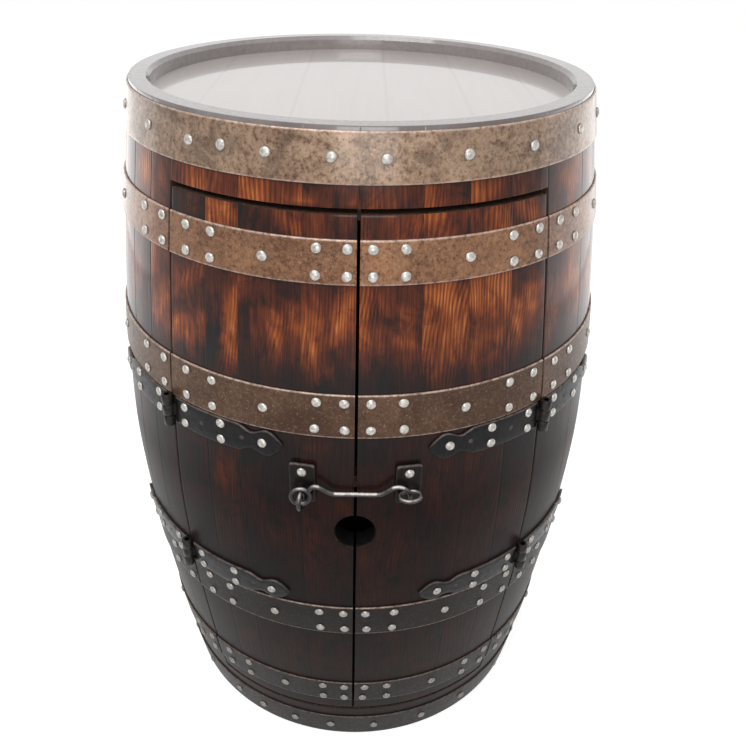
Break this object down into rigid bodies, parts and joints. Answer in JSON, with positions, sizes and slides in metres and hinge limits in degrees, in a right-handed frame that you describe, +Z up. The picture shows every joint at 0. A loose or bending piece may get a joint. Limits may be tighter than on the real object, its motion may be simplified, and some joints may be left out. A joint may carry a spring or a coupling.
{
  "type": "barrel bar cabinet",
  "caption": "Free-standing bar cabinet made from a whole oak barrel, with two hinged stave doors, a hook latch, steel hoops and an inner shelf.",
  "frame": {"origin": "on the floor, at the middle of the cabinet's outline seen from above, which lies a few millimetres in front of the barrel's axis because the latch stands out", "axes": "+Z up, the doors face -Y, +X towards the right-hand door"},
  "size_m": [0.643, 0.6594, 0.9],
  "materials": {
    "oak_staves": "dark red-brown oak, charred in places, under a gloss lacquer",
    "oak_doors": "dark red-brown oak with orange patches, under a gloss lacquer",
    "oak_head": "grey-beige oak boards under a high-gloss lacquer",
    "oak_shelf": "plain oak boards with a satin oil finish",
    "oak_inside": "dark aged oak, matt",
    "hoop_steel": "mottled brown aged steel with dark pits, under a clear lacquer",
    "black_iron": "black forged iron, satin"
  },
  "bodies": {
    "carcass": {"carcass_stave_01": "oak_staves", "carcass_stave_02": "oak_staves", "carcass_stave_03": "oak_staves", "carcass_stave_04": "oak_staves", "carcass_stave_05": "oak_staves", "carcass_stave_06": "oak_staves", "carcass_stave_07": "oak_staves", "carcass_stave_08": "oak_staves", "carcass_stave_09": "oak_staves", "carcass_stave_10": "oak_staves", "carcass_stave_11": "oak_staves", "carcass_stave_12": "oak_staves", "carcass_stave_13": "oak_staves", "carcass_stave_14": "oak_staves", "carcass_stave_15": "oak_staves", "carcass_stave_16": "oak_staves", "upper_front_staves": "oak_staves", "lower_front_staves": "oak_staves", "top_head_hoop": "hoop_steel", "bottom_head_hoop": "hoop_steel", "carcass_upper_quarter_hoop": "hoop_steel", "carcass_upper_bilge_hoop": "hoop_steel", "carcass_lower_bilge_hoop": "hoop_steel", "carcass_lower_quarter_hoop": "hoop_steel", "top_head": "oak_head", "bottom_head": "oak_inside", "shelf_left_board": "oak_shelf", "shelf_right_board": "oak_shelf", "shelf_cleat_left": "oak_shelf", "shelf_cleat_back": "oak_shelf", "shelf_cleat_right": "oak_shelf", "door_stop_batten": "oak_inside", "left_upper_hinge_frame_leaf": "black_iron", "left_lower_hinge_frame_leaf": "black_iron", "right_upper_hinge_frame_leaf": "black_iron", "right_lower_hinge_frame_leaf": "black_iron"},
    "left_door": {"left_door_stave_1": "oak_doors", "left_door_stave_2": "oak_doors", "left_door_stave_3": "oak_doors", "left_door_stave_4": "oak_doors", "left_door_upper_quarter_hoop": "hoop_steel", "left_door_upper_bilge_hoop": "hoop_steel", "left_door_lower_bilge_hoop": "hoop_steel", "left_door_lower_quarter_hoop": "hoop_steel", "left_upper_hinge_door_leaf": "black_iron", "left_lower_hinge_door_leaf": "black_iron", "left_door_latch_plate": "black_iron"},
    "right_door": {"right_door_stave_1": "oak_doors", "right_door_stave_2": "oak_doors", "right_door_stave_3": "oak_doors", "right_door_stave_4": "oak_doors", "right_door_upper_quarter_hoop": "hoop_steel", "right_door_upper_bilge_hoop": "hoop_steel", "right_door_lower_bilge_hoop": "hoop_steel", "right_door_lower_quarter_hoop": "hoop_steel", "right_upper_hinge_door_leaf": "black_iron", "right_lower_hinge_door_leaf": "black_iron", "right_door_latch_plate": "black_iron"},
    "hook": {"latch_hook": "black_iron"}
  },
  "joints": [
    {"name": "left_door_hinge", "type": "hinge", "parent": "carcass", "child": "left_door", "pos_m": [-0.21979, -0.23048, 0.45], "axis": [0, 0, -1], "range_deg": [0, 115]},
    {"name": "right_door_hinge", "type": "hinge", "parent": "carcass", "child": "right_door", "pos_m": [0.21979, -0.23048, 0.45], "axis": [0, 0, 1], "range_deg": [0, 115]},
    {"name": "hook_pivot", "type": "hinge", "parent": "left_door", "child": "hook", "pos_m": [-0.06103, -0.31784, 0.512], "axis": [0, -1, 0], "range_deg": [0, 100]}
  ]
}
